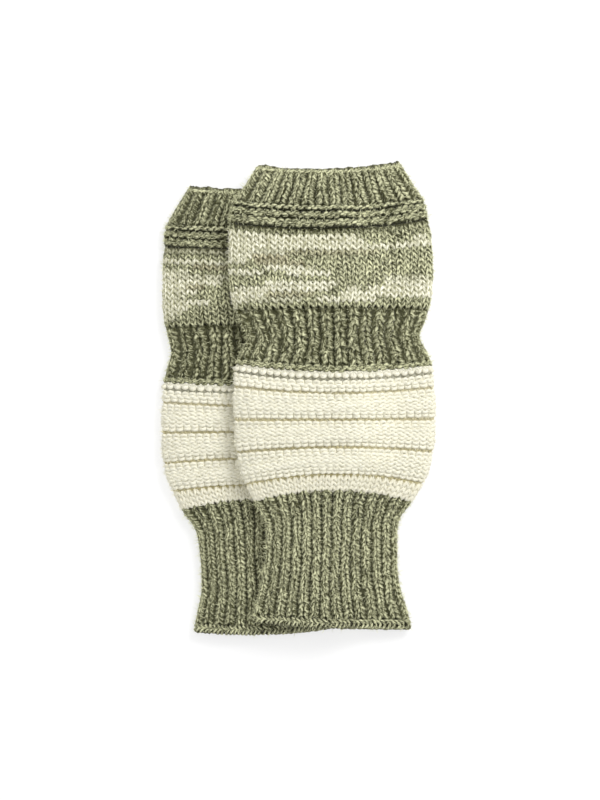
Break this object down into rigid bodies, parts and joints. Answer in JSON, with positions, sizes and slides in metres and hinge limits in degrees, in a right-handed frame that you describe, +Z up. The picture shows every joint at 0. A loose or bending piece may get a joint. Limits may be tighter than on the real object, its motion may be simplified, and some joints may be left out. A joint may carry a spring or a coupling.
{
  "type": "pair of knitted fingerless gloves",
  "caption": "Pair of long knitted fingerless gloves in olive, marled and cream wool, ribbed and welted, laid flat with one lying half over the other.",
  "frame": {"origin": "on the floor, under the middle of the pair", "axes": "+Z up, +Y towards the finger edges, +X towards the upper glove's side of the pair"},
  "size_m": [0.1474, 0.2526, 0.0218],
  "materials": {
    "olive_yarn": "heathered olive wool, plied, slightly fuzzy",
    "marled_yarn": "wool dyed in runs of cream, sage and beige, plied, slightly fuzzy",
    "cream_yarn": "cream wool, plied, slightly fuzzy"
  },
  "bodies": {
    "root": {"lower_finger_rib": "olive_yarn", "lower_finger_welts": "olive_yarn", "lower_marled_hand": "marled_yarn", "lower_wrist_rib": "olive_yarn", "lower_cream_arm": "cream_yarn", "lower_cuff_rib": "olive_yarn", "lower_cuff_edge": "olive_yarn", "upper_finger_rib": "olive_yarn", "upper_finger_welts": "olive_yarn", "upper_marled_hand": "marled_yarn", "upper_wrist_rib": "olive_yarn", "upper_cream_arm": "cream_yarn", "upper_cuff_rib": "olive_yarn", "upper_cuff_edge": "olive_yarn"}
  },
  "joints": []
}
